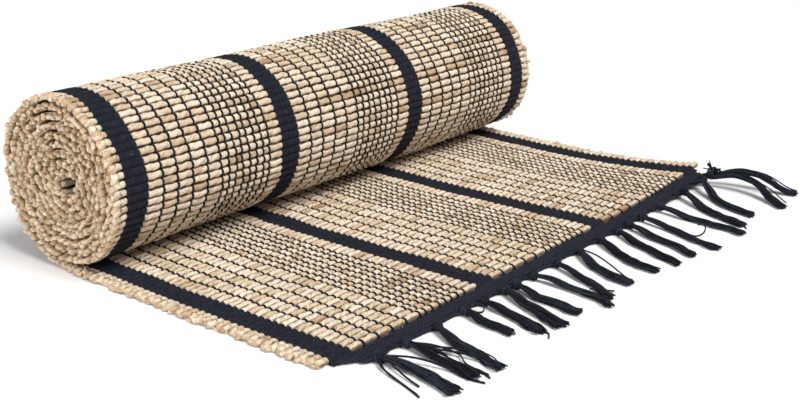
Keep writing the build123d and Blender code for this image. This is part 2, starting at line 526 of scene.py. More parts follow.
def cord_ends(skin, side, seed):
    """Adds the lumpy end of every cord on one side of the rug: two strands to a cord."""
    draw = np.random.default_rng(seed)
    lengths = (np.arange(CORD_COUNT) + 0.5) * PITCH
    spot, along, out = on_sheet(lengths)
    edge = anchor_places(lengths)[:, 0 if side < 0 else -1]
    insets, sizes = (np.array(column) for column in zip(*END_RINGS))
    insets = insets * MM
    angles = np.arange(END_SIDES) * TURN / END_SIDES
    for strand in range(END_STRANDS):
        turned = TURN * strand / END_STRANDS + draw.uniform(-0.7, 0.7, CORD_COUNT) + 0.5
        off = draw.uniform(1.5, 2.2, (CORD_COUNT, 1)) * MM
        middle = spot + off * (
            np.cos(turned)[:, None] * along * 1.3 + np.sin(turned)[:, None] * out * 0.9
        )
        reach = draw.uniform(-1.8, 2.6, CORD_COUNT) * MM
        radius = draw.uniform(2.4, 3.1, CORD_COUNT) * MM
        lean = draw.normal((0.18, 0.05), 0.10, (CORD_COUNT, 2))
        x = edge[:, None] + side * (reach[:, None] + insets)
        centre = middle[:, None] + np.zeros((CORD_COUNT, len(insets), 3))
        centre[..., 0] = x
        centre += (lean[:, :1] * (insets + END_DEPTH))[..., None] * along[:, None]
        centre += (lean[:, 1:] * (insets + END_DEPTH))[..., None] * out[:, None]
        rough = 1 + 0.09 * draw.standard_normal((CORD_COUNT, len(insets), len(angles)))
        wide = radius[:, None, None] * sizes[:, None] * np.cos(angles) * rough * END_WIDTH
        high = radius[:, None, None] * sizes[:, None] * np.sin(angles) * rough * END_HEIGHT
        points = (centre[:, :, None] + wide[..., None] * along[:, None, None]
                  + high[..., None] * out[:, None, None])
        keep_off_floor(points, 0.1 * MM)
        places = np.empty_like(points)
        places[..., 0] = (x + 1.7 * np.arange(CORD_COUNT)[:, None] + 0.4 * strand)[..., None]
        places[..., 1], places[..., 2] = wide, high
        tint = draw.normal(-1.3, 0.8, (CORD_COUNT, 1, 1))
        skin.tubes(points, places, tint, (strand / END_STRANDS, (strand + 1) / END_STRANDS))


def rings_along(path, radius, sides):
    """Rings round a path of shape (tubes, rings, 3), and their places in the yarn."""
    way = np.gradient(path, axis=1)
    way /= np.linalg.norm(way, axis=-1, keepdims=True) + 1e-12
    up = np.zeros(3) + (0, 0, 1)
    side = np.cross(way, up)
    size = np.linalg.norm(side, axis=-1, keepdims=True)
    side = np.where(size > 0.05, side / (size + 1e-12), np.array([1.0, 0, 0]))
    top = np.cross(side, way)
    top /= np.linalg.norm(top, axis=-1, keepdims=True) + 1e-12
    angles = np.arange(sides) * TURN / sides
    radius = np.broadcast_to(radius, path.shape[:2])
    wide = radius[..., None] * np.cos(angles)
    high = radius[..., None] * np.sin(angles)
    points = path[:, :, None] + wide[..., None] * side[:, :, None]
    points = points + high[..., None] * top[:, :, None]
    gone = np.linalg.norm(np.diff(path, axis=1, prepend=path[:, :1]), axis=-1).cumsum(1)
    places = np.empty_like(points)
    places[..., 0] = (gone + 1.3 * np.arange(len(path))[:, None])[..., None]
    places[..., 1], places[..., 2] = wide, high
    return points, places


def add_threads(skin, path, radius, sides, tint, rows=(0.0, 1.0)):
    """Adds threads along these paths to a skin. No thread sinks into the floor."""
    points, places = rings_along(path, radius, sides)
    keep_off_floor(points, 0.05 * MM)
    skin.tubes(points, places, tint[:, None, None], rows)


BAND_ROWS = 13
BAND_PLACES = 620  # points along each row
BEAT = 2.2 * MM  # from warp to warp in the band
SLANT = 27 * MM  # the outer rows begin this much later, drawn into the first tassel
PULL_WIDTH = 9 * MM  # of the stretch that each tassel pulls outwards
BAND_YARN = 1.02 * MM  # radius of a row


def woven_band(skin, seed):
    """Adds the open end's plain band: rows of weft yarn, packed over and under the warps."""
    draw = np.random.default_rng(seed)
    long = BAND_HIGH.y - BAND_LOW.y
    whole = np.linspace(BAND_LOW.x + 1 * MM, BAND_HIGH.x - 1 * MM, BAND_PLACES)
    pulled = sum(np.exp(-(((whole - root * MM) / PULL_WIDTH) ** 2)) for root, *_ in TASSELS)
    path = np.zeros((BAND_ROWS, BAND_PLACES, 3))
    beat = TURN / 2 * whole / BEAT
    for row in range(BAND_ROWS):
        share = (row + 0.5) / BAND_ROWS
        begins = SLANT * (1 - share) ** 1.4 * (BAND_HIGH.x - whole) / (BAND_HIGH.x - BAND_LOW.x)
        x = whole + begins * np.clip(1.2 + (BAND_LOW.x - whole) / (60 * MM), 0, 1)
        dome = 1 - abs(2 * share - 1) ** 3
        wander = Sway(seed + row, 0.5 * MM, 60 * MM)(x) + Sway(seed + 50, 0.9 * MM, 110 * MM)(x)
        gather = (1.3 - 2.8 * pulled) * MM * (1 - share) ** 2
        path[row, :, 0] = x
        path[row, :, 1] = BAND_LOW.y + share * long + wander * min(1, 4 * (1 - share)) + gather
        uneven = Sway(seed + 90 + row, 0.45 * MM, 40 * MM)(x)
        path[row, :, 2] = (1.1 + 2.1 * dome + 0.5 * np.sin(beat + math.pi * row)) * MM
        path[row, :, 2] += uneven * dome + corner_lift(x, BAND_HIGH.y - path[row, :, 1])
    thick = BAND_YARN * (1 + 0.12 * draw.standard_normal((BAND_ROWS, 1)))
    add_threads(skin, path, thick, 6, draw.standard_normal(BAND_ROWS), (0.0, 0.8))
    add_backing(skin)


def add_backing(skin):
    """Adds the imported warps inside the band, under its rows."""
    edges = np.linspace(BAND_LOW.x + SLANT + 3 * MM, BAND_HIGH.x - 2 * MM, 40)
    backing = np.zeros((1, len(edges), 4, 3))
    low, high = BAND_LOW.y + 1.5 * MM, BAND_HIGH.y - 0.5 * MM
    lifted = corner_lift(edges, 0.0)
    for corner, (y, z) in enumerate(((low, 0.1), (low, 1.3), (high, 2.0), (high, 0.1))):
        backing[0, :, corner, 0] = edges
        backing[0, :, corner, 1] = y
        backing[0, :, corner, 2] = z * MM + lifted
    skin.tubes(backing, backing, 0.0, (0.8, 1.0))


# Each tassel of the open end: where it leaves the band, how far its tip lies to the side, its
# reach, its number of threads, half its width at the tip, and how far it bows to the side. The
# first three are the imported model's; all lengths are in millimetres.
TASSELS = [
    (-303, -6, 90, 42, 8.5, 6),
    (-266, -12, 86, 22, 8.0, 4),
    (-222, -28, 94, 24, 5.2, -3),
    (-178, -9, 62, 24, 4.8, 0),
    (-149, -18, 80, 26, 5.6, 3),
    (-114, -30, 88, 38, 9.0, 0),
    (-95, -12, 84, 34, 6.0, -3),
    (-65, -11, 98, 24, 4.8, 7),
    (-22, -37, 90, 22, 4.2, 3),
    (23, -38, 86, 32, 5.8, -6),
    (67, -37, 90, 30, 5.2, -5),
    (103, -40, 98, 30, 5.4, -2),
    (129, -31, 100, 28, 4.8, 0),
    (160, -28, 111, 16, 3.4, 0),
    (202, -8, 112, 24, 4.8, -1),
    (262, -45, 100, 30, 5.4, -5),
    (310, -54, 94, 32, 5.6, -9),
    (328, -24, 111, 30, 5.6, 0),
    (341, -8, 104, 34, 6.0, 0),
]
# The two corner tassels arch up over the floor first: points on their way, as (x, y, z), with y
# from the band's outer edge.
ARCHED = {
    17: [(330, -6, 11), (338, -34, 18), (335, -62, 15), (321, -86, 5), (306, -109, 3)],
    18: [(343, -6, 12), (353, -30, 19), (359, -58, 17), (360, -84, 6), (364, -102, 3)],
}
KNOT_RADIUS = 4.8 * MM
THREAD_RINGS = 18
RESTING = 3.2 * MM  # height of a tassel's middle line where it lies on the floor
FAN = 15 * MM  # how far to each side a tassel gathers its threads from the band
BODY = 5.2  # half width of the fullest tassel between its knot and its tip, in millimetres
FULLNESS = 1.5  # threads laid for each one counted


def through(points, count):
    """A smooth path through a few points, with this many rings."""
    given = np.asarray(points, float)
    fine = np.linspace(0, len(given) - 1, count)
    slopes = np.gradient(given, axis=0)
    left = np.minimum(fine.astype(int), len(given) - 2)
    part = (fine - left)[:, None]
    start, end = given[left], given[left + 1]
    turn_in, turn_out = slopes[left], slopes[left + 1]
    return (start * (1 + 2 * part) * (1 - part) ** 2 + turn_in * part * (1 - part) ** 2
            + end * part**2 * (3 - 2 * part) + turn_out * part**2 * (part - 1))


def knot_place(number):
    """The middle of the knot that gathers one tassel's yarns at the band's edge."""
    x = TASSELS[number][0] * MM
    high = KNOT_RADIUS + corner_lift(x, 0.0)
    return np.array([x, BAND_LOW.y - KNOT_RADIUS, high])


def tassel_route(number):
    """The middle line of one tassel, from its knot to its cut tip."""
    root, lean, reach, _, _, bow = TASSELS[number]
    knot = knot_place(number)
    if number in ARCHED:
        points = np.array(ARCHED[number]) * MM + (0, BAND_LOW.y, 0)
        return through(points, THREAD_RINGS)
    share = np.linspace(0, 1, THREAD_RINGS)[:, None]
    tip = np.array([(root + lean) * MM, BAND_LOW.y - reach * MM, RESTING])
    line = knot + share * (tip - knot)
    sink = np.clip(share[:, 0] / 0.35, 0, 1)
    line[:, 2] = knot[2] * (1 - sink) + RESTING * sink + 1.2 * MM * np.sin(math.pi * sink)
    across = np.array([knot[1] - tip[1], tip[0] - knot[0]])
    line[:, :2] += 4 * share * (1 - share) * bow * MM * across / np.linalg.norm(across)
    sway = Sway(600 + number, 1.6 * MM, 60 * MM)
    aside = sway(share[:, 0] * reach * MM) * np.sqrt(share[:, 0])
    line[:, :2] += aside[:, None] * (across / np.linalg.norm(across))
    return line


def tassel_threads(number, seed):
    """The paths of one tassel's threads, from the band through the knot to the cut tips."""
    root, _, reach, threads, spread, _ = TASSELS[number]
    threads = round(threads * FULLNESS)
    draw = np.random.default_rng(seed + number)
    route = tassel_route(number)
    share = np.linspace(0, 1, THREAD_RINGS)
    way = np.gradient(route, axis=0)
    across = np.stack([-way[:, 1], way[:, 0], np.zeros(THREAD_RINGS)], -1)
    across /= np.linalg.norm(across, axis=-1, keepdims=True)
    ends = 1 - abs(draw.normal(0, 0.03, threads))
    which = ends[:, None] * (THREAD_RINGS - 1) * share
    left = np.minimum(which.astype(int), THREAD_RINGS - 2)
    part = (which - left)[..., None]
    path = route[left] * (1 - part) + route[left + 1] * part
    side = across[left] * (1 - part) + across[left + 1] * part

    turned = draw.uniform(0, TURN, threads)
    off = np.sqrt(draw.uniform(0.02, 1, threads))[:, None]
    twist = turned[:, None] + 1.3 * share * draw.choice([-1, 1])
    fill = np.clip(share / 0.3, 0, 1) ** 0.7
    body = min(spread, BODY)
    wide = (2.0 + (body - 2.0) * fill + (spread - body) * share**2) * MM
    high = (2.0 + 1.1 * fill - 0.9 * share**2) * MM
    path = path + (off * np.cos(twist) * wide)[..., None] * side
    path[..., 2] += off * np.sin(twist) * high
    for thread in range(threads):
        for axis, size in ((0, 1.3), (1, 0.7), (2, 0.5)):
            sway = Sway(seed * 977 + number * 131 + thread * 7 + axis, size * MM, 36 * MM)
            path[thread, :, axis] += sway(share * reach * MM) * share
    keep_off_floor(path, 0.75 * MM)

    start = np.empty((threads, 3, 3))
    fan = draw.uniform(-1, 1, threads) * FAN
    fan = np.clip(root * MM + fan, BAND_LOW.x + 2 * MM, BAND_HIGH.x - 2 * MM) - root * MM
    lifted = corner_lift(root * MM, 0.0)
    for step, (forward, narrow, rise) in enumerate(((5.0, 1.0, 2.6), (1.0, 0.85, 3.0),
                                                    (-2.0, 0.4, 4.4))):
        start[:, step, 0] = root * MM + fan * narrow
        start[:, step, 1] = BAND_LOW.y + forward * MM
        start[:, step, 2] = rise * MM * (0.55 + 0.45 * off[:, 0]) + lifted
    return np.concatenate([start, path], 1), draw.standard_normal(threads)


def stray_threads():
    """The loose threads that leave their tassels: loops, curls and splayed strands.

    Each is a list of points, as (x, y, z) in millimetres from the band's outer edge.
    """
    return [
        [(-304, -4, 5), (-314, -16, 3), (-322, -42, 1), (-330, -66, 1)],
        [(-305, -6, 4), (-317, -24, 2), (-324, -48, 1), (-332, -70, 1)],
        [(-306, -20, 4), (-314, -43, 2), (-318, -59, 1)],
        [(-302, -9, 7), (-287, -30, 6), (-279, -56, 3), (-281, -76, 1), (-278, -90, 1)],
        [(-266, -9, 6), (-257, -28, 6), (-252, -50, 3), (-262, -66, 2), (-264, -90, 1)],
        [(-266, -9, 6), (-262, -24, 6), (-252, -38, 5), (-243, -58, 5), (-246, -70, 5)],
        [(-266, -9, 6), (-264, -22, 5), (-255, -40, 4), (-249, -58, 4), (-248, -74, 4)],
        [(-266, -9, 5), (-260, -36, 4), (-268, -60, 2), (-262, -78, 1), (-268, -94, 1)],
        [(-266, -9, 5), (-272, -36, 3), (-268, -58, 2), (-280, -80, 1), (-278, -96, 1)],
        [(-182, -8, 6), (-175, -8, 8), (-168, -8, 9), (-163, -11, 8), (-164, -15, 6),
         (-171, -18, 5), (-176, -15, 5)],
        [(-149, -9, 5), (-157, -40, 4), (-168, -64, 1), (-162, -82, 1), (-171, -90, 1)],
        [(-57, -64, 4), (-50, -68, 3), (-46, -74, 2), (-41, -82, 2)],
        [(23, -9, 7), (14, -30, 9), (3, -52, 8), (-6, -74, 4), (-10, -86, 2)],
        [(160, -12, 5), (152, -50, 5), (140, -76, 6), (146, -84, 9), (153, -83, 14),
         (157, -78, 16), (154, -74, 14)],
        [(160, -12, 5), (150, -56, 4), (138, -82, 3), (129, -94, 2), (128, -104, 1),
         (134, -108, 1)],
        [(262, -9, 5), (246, -44, 3), (226, -80, 1), (224, -96, 1), (214, -104, 1)],
        [(343, -9, 12), (352, -40, 15), (346, -74, 8), (336, -92, 3), (326, -104, 2)],
        [(343, -9, 12), (357, -34, 20), (362, -62, 19), (366, -88, 8), (368, -100, 5)],
    ]


TWIN = np.array([0.9, 0.7, 0.25]) * MM  # from a loose thread to the one beside it


def add_strays(skin):
    """Adds the loose threads, each with a twin beside it so that they read as thin wisps."""
    edge = np.array([0, BAND_LOW.y, 0])
    paths = [through(points, 26) * MM + edge for points in stray_threads()]
    twins = [path + TWIN for path in paths]
    path = np.stack(paths + twins)
    keep_off_floor(path, 0.7 * MM)
    add_threads(skin, path, 0.62 * MM, 5, np.linspace(-1, 1, len(path)), (0.9, 0.97))


def add_tuft(skin, seed):
    """Adds the short cut ends that stand out of the corner knot."""
    draw = np.random.default_rng(seed)
    root = knot_place(len(TASSELS) - 1) + (0, 3 * MM, 2 * MM)
    many = 12
    way = draw.normal(0, 0.55, (many, 3)) + (-0.2, 0.5, 0.75)
    way /= np.linalg.norm(way, axis=-1, keepdims=True)
    reach = draw.uniform(7, 12, (many, 1, 1)) * MM
    path = root + np.linspace(0, 1, 6)[:, None] * reach * way[:, None]
    path[..., 0] = np.minimum(path[..., 0], EDGE + 8 * MM)
    add_threads(skin, path, 0.7 * MM, 5, draw.standard_normal(many), (0.97, 1.0))


def add_knot(skin, number, big, seed):
    """Adds one knot: yarn wound round the gathered bundle, with a loop pulled across it."""
    draw = np.random.default_rng(seed)
    _, lean, reach, *_ = TASSELS[number]
    knot = knot_place(number)
    way = np.array([lean * 0.6, -reach, 0.0])
    way /= np.linalg.norm(way)
    side = np.array([-way[1], way[0], 0])
    top = np.cross(way, side) * -1
    turn = np.linspace(0, TURN, 17)
    loops = []
    for place in (-2.6, -0.9, 0.9, 2.5):
        tilt = draw.normal(0, 0.3, 2)
        radius = (3.35 - 0.12 * place**2 + draw.normal(0, 0.15)) * MM * big
        ahead = place * MM * big + radius * (tilt[0] * np.cos(turn) + tilt[1] * np.sin(turn))
        loops.append(knot + ahead[:, None] * way + radius * (
            np.cos(turn)[:, None] * side + np.sin(turn)[:, None] * top * 0.95))
    slant = draw.uniform(0.7, 1.1) * draw.choice([-1, 1])
    radius = 3.9 * MM * big
    loops.append(knot + radius * (
        np.cos(turn)[:, None] * (side * math.cos(slant) + way * math.sin(slant))
        + np.sin(turn)[:, None] * top * 0.95))
    add_threads(skin, np.stack(loops), 1.15 * MM * big, 6, draw.standard_normal(len(loops)))
    core = knot + np.linspace(-3.4, 3.4, 5)[:, None] * MM * big * way
    sizes = np.array([1.6, 2.9, 3.3, 2.9, 1.7]) * MM * big
    add_threads(skin, core[None], sizes[None], 8, np.zeros(1))


CORE_ROWS = 12
CORE_BUNDLES, CORE_THREADS = 18, 6
CORE_LANES = [(-8.2, -5.0), (-6.3, -0.5), (-10.5, 3.2)]  # (y, z) off the roll's axis, in mm
CORE_REACH = 86 * MM


def inner_band_and_fringe(band, fringe, seed):
    """Adds the plain band at the roll's core and the fringe tucked lengthwise inside it."""
    draw = np.random.default_rng(seed)
    long = BAND_HIGH.y - BAND_LOW.y
    x = np.linspace(BAND_LOW.x + 1 * MM, BAND_HIGH.x - 1 * MM, 150)
    for row in range(CORE_ROWS):
        length = np.array([FIELD_LENGTH + (row + 0.5) * long / CORE_ROWS])
        spot, _, out = on_sheet(length)
        path = np.zeros((1, len(x), 3)) + spot
        path[..., 0] = x
        path += (0.35 * MM * np.sin(x * 1400 + math.pi * row))[None, :, None] * out
        add_threads(band, path, 0.98 * MM, 5, draw.standard_normal(1))
    low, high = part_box("inner_fringe")
    for place in range(CORE_BUNDLES):
        start = low[0] + 3 * MM + (high[0] - low[0] - 90 * MM) * place / (CORE_BUNDLES - 1)
        y, z = CORE_LANES[place % len(CORE_LANES)]
        middle = np.array([0, AXIS_Y + y * MM, AXIS_HEIGHT + z * MM])
        turned = draw.uniform(0, TURN, CORE_THREADS)
        path = np.zeros((CORE_THREADS, 14, 3)) + middle
        ends = draw.normal(0, 2, (CORE_THREADS, 1)) * MM
        path[..., 0] = np.linspace(start, start + CORE_REACH, path.shape[1]) + ends
        turns = turned[:, None] + np.arange(path.shape[1]) * 0.25
        path[..., 1] += np.cos(turns) * 1.1 * MM
        path[..., 2] += np.sin(turns) * 1.1 * MM
        add_threads(fringe, path, 0.75 * MM, 5, draw.standard_normal(CORE_THREADS))


# ---- Materials -------------------------------------------------------------------------------


class Number:
    """A shader socket that holds a number, used like a number in sums."""

    def __init__(self, look, socket):
        self.look, self.socket = look, socket

    def math(self, operation, *numbers, clamp=False):
        given = dict(enumerate(numbers))
        return self.look.node("ShaderNodeMath", {"operation": operation, "use_clamp": clamp}, given)

    def __add__(self, other):
        return self.math("ADD", self, other)

    __radd__ = __add__

    def __sub__(self, other):
        return self.math("SUBTRACT", self, other)

    def __rsub__(self, other):
        return self.math("SUBTRACT", other, self)

    def __mul__(self, other):
        return self.math("MULTIPLY", self, other)

    __rmul__ = __mul__

    def clamped(self):
        return self.math("ADD", self, 0.0, clamp=True)


class Look:
    """A material under construction."""

    def __init__(self, name):
        self.material = bpy.data.materials.new(name)
        self.material.use_nodes = True
        self.tree = self.material.node_tree
        self.tree.nodes.clear()

    def node(self, kind, settings=None, sockets=None, output=0):
        """Adds a node: its settings first, then its sockets' values or links."""
        made = self.tree.nodes.new(kind)
        for name, value in (settings or {}).items():
            setattr(made, name, value)
        for name, value in (sockets or {}).items():
            if isinstance(value, Number):
                self.tree.links.new(value.socket, made.inputs[name])
            else:
                made.inputs[name].default_value = value
        return Number(self, made.outputs[output]) if made.outputs else None

    def place(self):
        """The point's place in its own yarn: along it, then across its section."""
        found = {"attribute_name": "yarn_place"}
        return self.node("ShaderNodeAttribute", found, output="Vector")

    def part(self, place, axis):
        return self.node("ShaderNodeSeparateXYZ", None, {"Vector": place}, axis)

    def twisted(self, place, lead):
        """A place that turns back with the fibres, which go round once in this length."""
        angle = self.part(place, "X") * (-TURN / lead)
        sockets = {"Vector": place, "Axis": (1, 0, 0), "Angle": angle}
        return self.node("ShaderNodeVectorRotate", {"rotation_type": "AXIS_ANGLE"}, sockets)

    def tint(self):
        """The yarn's own lightness, about -1 to 1."""
        return self.node("ShaderNodeAttribute", {"attribute_name": "yarn_tint"}, output="Fac")

    def scaled(self, place, scale):
        """A place scaled by these factors on its three axes."""
        return self.node("ShaderNodeVectorMath", {"operation": "MULTIPLY"}, {0: place, 1: scale})

    def noise(self, place, detail=3.0, roughness=0.55):
        sockets = {"Vector": place, "Scale": 1.0, "Detail": detail, "Roughness": roughness}
        return self.node("ShaderNodeTexNoise", {"noise_dimensions": "3D"}, sockets, "Fac")

    def mix(self, share, first, second):
        """Two colours mixed. The colour sockets are the seventh and eighth of the Mix node."""
        settings = {"data_type": "RGBA", "clamp_factor": True}
        return self.node("ShaderNodeMix", settings, {0: share, 6: first, 7: second}, output=2)

    def bump(self, height, distance):
        sockets = {"Height": height, "Distance": distance, "Strength": 1.0}
        return self.node("ShaderNodeBump", None, sockets, "Normal")

    def finish(self, **sockets):
        """Closes the material with a Principled surface with these sockets."""
        given = {name.replace("_", " "): value for name, value in sockets.items()}
        surface = self.node("ShaderNodeBsdfPrincipled", None, given)
        self.node("ShaderNodeOutputMaterial", None, {"Surface": surface})
        return self.material


def colour(rgb, share=1.0):
    """A colour for a shader socket, darkened to this share."""
    return (*(share * part for part in rgb), 1.0)


SHADED_FLANK = 3.3 * MM  # off a cord's middle, where painted shade darkens its side towards the next cord


def fibre_look(pale, straw, tan):
    """Twisted plant fibre: cream to straw, streaked along the twist, tan where it is old, with
    painted shade in the twist's grooves and along each cord's sides towards the next cord.
    """
    look = Look("plant_fibre")
    place, tint = look.place(), look.tint()
    turned = look.twisted(place, PLY_LEAD)
    strands = look.noise(look.scaled(turned, (70, 620, 620)), 2.0)
    fibres = look.noise(look.scaled(turned, (120, 2100, 2100)), 3.0, 0.6)
    patches = look.noise(look.scaled(place, (55, 260, 260)), 2.0)
    light = (0.62 + 0.22 * tint + 2.4 * (strands - 0.5) + 1.4 * (fibres - 0.5)).clamped()
    base = look.mix(light, colour(straw), colour(pale))
    old = (3.2 * (patches - 0.56) - 0.27 * tint + 0.8 * (strands - 0.5)).clamped()
    base = look.mix(0.75 * old, base, colour(tan))
    # Painted shade: the low places between the twisted strands are darkened to a deep tan.
    groove_shade = (5.5 * (0.42 - strands) + 2.4 * (0.43 - fibres)).clamped()
    base = look.mix(0.62 * groove_shade, base, colour(tan, 0.45))
    # Painted shade: each cord's sides darken to a deep tan towards the gap at the next cord.
    aside = look.part(place, "Y") * (1 / SHADED_FLANK)
    flank_shade = (2.6 * (aside * aside - 0.76)).clamped()
    base = look.mix(0.8 * flank_shade, base, colour(tan, 0.3))
    height = 0.65 * strands + 0.35 * fibres
    return look.finish(
        Base_Color=base,
        Roughness=0.62 + 0.25 * fibres,
        Normal=look.bump(height, 2.0 * MM),
        Sheen_Weight=0.03,
        Specular_IOR_Level=0.2,
    )


YARN_LEAD = 5 * MM  # length over which a cotton yarn's plies turn once
LINT = (0.55, 0.50, 0.42)


def yarn_look(name, dark, light, share, vary, lint):
    """Dyed cotton yarn: two plies twisted together, with paler fuzz on its high places."""
    look = Look(name)
    place, tint = look.place(), look.tint()
    turned = look.twisted(place, YARN_LEAD)
    plies = look.noise(look.scaled(turned, (240, 900, 900)), 2.0)
    fuzz = look.noise(look.scaled(place, (900, 2400, 2400)), 3.0, 0.65)
    worn = (share + vary * tint + 1.6 * (plies - 0.5) + 0.9 * (fuzz - 0.5)).clamped()
    base = look.mix(worn, colour(dark), colour(light))
    if lint:
        specks = look.noise(look.scaled(place, (420, 420, 420)), 1.0)
        base = look.mix((lint * (specks - 0.76)).clamped(), base, colour(LINT))
    return look.finish(
        Base_Color=base,
        Roughness=0.78 + 0.16 * fuzz,
        Normal=look.bump(0.7 * plies + 0.3 * fuzz, 0.7 * MM),
        Sheen_Weight=0.02,
        Sheen_Roughness=0.6,
        Specular_IOR_Level=0.2,
    )


# ---- Add-on: settings, operators and panel ---------------------------------------------------


def colour_property(name, description, default):
    return FloatVectorProperty(
        name=name, description=description, default=default, subtype="COLOR", size=3, min=0, max=1
    )


class RugSettings(PropertyGroup):
    """The sizes and colours that a user would change."""

    pale_fibre: colour_property(
        "Pale fibre", "Lightest colour of the fibre cords", (0.88, 0.76, 0.60)
    )
    straw_fibre: colour_property(
        "Straw fibre", "Middle colour of the fibre cords", (0.61, 0.435, 0.265)
    )
    # The tan is also darkened for the painted shade in the fibres' grooves and between the cords.
    tan_fibre: colour_property(
        "Tan fibre", "Colour of the old patches in the fibre cords", (0.34, 0.19, 0.085)
    )
    dark_yarn: colour_property(
        "Dark yarn", "Deepest colour of the warp and fringe yarns", (0.0035, 0.004, 0.008)
    )
    worn_yarn: colour_property(
        "Worn yarn", "Colour of the yarns' fuzz and high places", (0.024, 0.028, 0.048)
    )
    warp_width: FloatProperty(
        name="Warp yarn width", description="Width of one yarn of a warp line",
        default=2.7 * MM, min=0.5 * MM, max=3 * MM, unit="LENGTH",
    )
    thread_radius: FloatProperty(
        name="Fringe thread radius", description="Radius of one thread of the fringe",
        default=0.64 * MM, min=0.3 * MM, max=1.5 * MM, unit="LENGTH",
    )
    stripe_yarns: IntProperty(
        name="Yarn pairs in a stripe", description="Pairs of yarns side by side in each stripe",
        default=15, min=5, max=25,
    )
    key_strength: FloatProperty(
        name="Overhead light", description="Strength of the wide, soft light from above",
        default=3.1, min=0, max=20, subtype="FACTOR",
    )
    side_power: FloatProperty(
        name="Side light", description="Power of the soft light on the roll's near end",
        default=31.0, min=0, max=500, unit="POWER",
    )


def settings():
    return bpy.context.scene.runner_rug


def fibre_material():
    chosen = settings()
    return bpy.data.materials.get("plant_fibre") or fibre_look(
        chosen.pale_fibre, chosen.straw_fibre, chosen.tan_fibre
    )


# Each cotton yarn's share of worn, paler places, how much it varies, and its specks of lint.
COTTONS = {
    "warp_cotton": (0.16, 0.1, 0.0),
    "stripe_cotton": (0.26, 0.06, 14.0),
    "band_cotton": (0.44, 0.15, 0.0),
    "fringe_cotton": (0.34, 0.38, 0.0),
}


def cotton(name):
    chosen = settings()
    return bpy.data.materials.get(name) or yarn_look(
        name, chosen.dark_yarn, chosen.worn_yarn, *COTTONS[name]
    )


class RUG_OT_fibre_cords(Operator):
    """Lays the fibre cords across the rug: flat, round the outer turn, and inside the roll"""

    bl_idname = "rug.fibre_cords"
    bl_label = "Fibre cords"

    def execute(self, context):
        material = fibre_material()
        back_end = FLAT_CORDS + BACK_CORDS
        flat = Skin()
        fibre_cords(flat, np.arange(FLAT_CORDS), 11, faces_up=True)
        flat.make("fibre_cords_flat", material, ["weft_cords_flat"], "fibre_cord")
        for name, first, last, seed in (
            ("fibre_cords_roll_back", FLAT_CORDS, back_end, 12),
            ("fibre_cords_roll_front", back_end, TURN_CORDS, 13),
        ):
            turn = Skin()
            fibre_cords(turn, np.arange(first, last), seed)
            turn.make(name, material, ["weft_cords_turn_1"], "fibre_cord")
        inner = Skin()
        fibre_cords(inner, np.arange(TURN_CORDS, CORD_COUNT), 14, coarse=True)
        hidden = [f"weft_cords_turn_{turn}" for turn in range(2, 10)]
        inner.make("fibre_cords_inner", material, hidden, "fibre_cord")
        return {"FINISHED"}


class RUG_OT_cord_ends(Operator):
    """Makes the lumpy ends of the cords along both sides of the rug"""

    bl_idname = "rug.cord_ends"
    bl_label = "Cord ends"

    def execute(self, context):
        for name, side, seed in (("cord_ends_left", -1, 21), ("cord_ends_right", 1, 22)):
            ends = Skin()
            cord_ends(ends, side, seed)
            ends.make(name, fibre_material(), [], "fibre_cord")
        return {"FINISHED"}


class RUG_OT_warp_yarns(Operator):
    """Weaves the warp lines of the three panels, each line a pair of thin yarns"""

    bl_idname = "rug.warp_yarns"
    bl_label = "Warp yarns"

    def execute(self, context):
        material = cotton("warp_cotton")
        half = settings().warp_width / 2
        for panel in range(PANELS):
            lines = panel_lines(panel)
            at = [ANCHORS.index(x) for x in lines]
            warps = Skin()
            woven_pairs(warps, lambda lengths: anchor_places(lengths)[:, at],
                        (-0.5 * MM, 0.5 * MM), 2.95 * MM, half, 0.75 * MM, 5, 30 + panel)
            inner_yarns(warps, lines, half, 40 + panel)
            nodes = [
                f"panel_{panel + 1}_{group}_warps_{part}"
                for group in ("wide", "close") for part in ("flat", "roll")
            ]
            warps.make(f"panel_{panel + 1}_warps", material, nodes, "warp_yarn")
        return {"FINISHED"}


class RUG_OT_stripes(Operator):
    """Weaves the four solid stripes, each of many pairs of yarns side by side"""

    bl_idname = "rug.stripes"
    bl_label = "Stripes"

    def execute(self, context):
        material = cotton("stripe_cotton")
        pairs = settings().stripe_yarns
        for number, (left, right) in enumerate(STRIPE_EDGES):
            step = (right - left) / pairs
            spots = left + (np.arange(pairs) + 0.5) * step
            stripe = Skin()
            woven_pairs(stripe, lambda lengths: moved(spots, lengths),
                        (0.0, 0.0), 3.05 * MM, step * 0.76, 0.7 * MM, 4, 50 + number)
            inner_yarns(stripe, [(left + right) / 2], (right - left) / 2, 60 + number)
            label = f"stripe_{number + 1}"
            nodes = [f"{label}_flat", f"{label}_roll"]
            stripe.make(f"{label}_yarns", material, nodes, "stripe_yarn")
        return {"FINISHED"}


class RUG_OT_end_band(Operator):
    """Weaves the plain band at the open end"""

    bl_idname = "rug.end_band"
    bl_label = "End band"

    def execute(self, context):
        band = Skin()
        woven_band(band, 71)
        band.make("end_band", cotton("band_cotton"), ["outer_end_band"], "end_band")
        return {"FINISHED"}


class RUG_OT_fringe(Operator):
    """Ties the knots of the open end's fringe, and lays its tassels on the floor"""

    bl_idname = "rug.fringe"
    bl_label = "Fringe"

    def execute(self, context):
        material = cotton("fringe_cotton")
        radius = settings().thread_radius
        knots, threads = Skin(), Skin()
        for number in range(len(TASSELS)):
            paths, tint = tassel_threads(number, 83)
            low = 0.9 * number / len(TASSELS)
            add_threads(threads, paths, radius, 5, tint, (low, low + 0.9 / len(TASSELS)))
            at_corner = number in (0, len(TASSELS) - 1)
            add_knot(knots, number, 1.3 if at_corner else 1.12, 90 + number)
        add_strays(threads)
        add_tuft(threads, 89)
        knots.make("fringe_knots", material, ["outer_fringe_knots"], "fringe_yarn")
        nodes = [f"tassel_{number + 1:02d}" for number in range(len(TASSELS))]
        threads.make("fringe_tassels", material, nodes, "fringe_yarn")
        return {"FINISHED"}


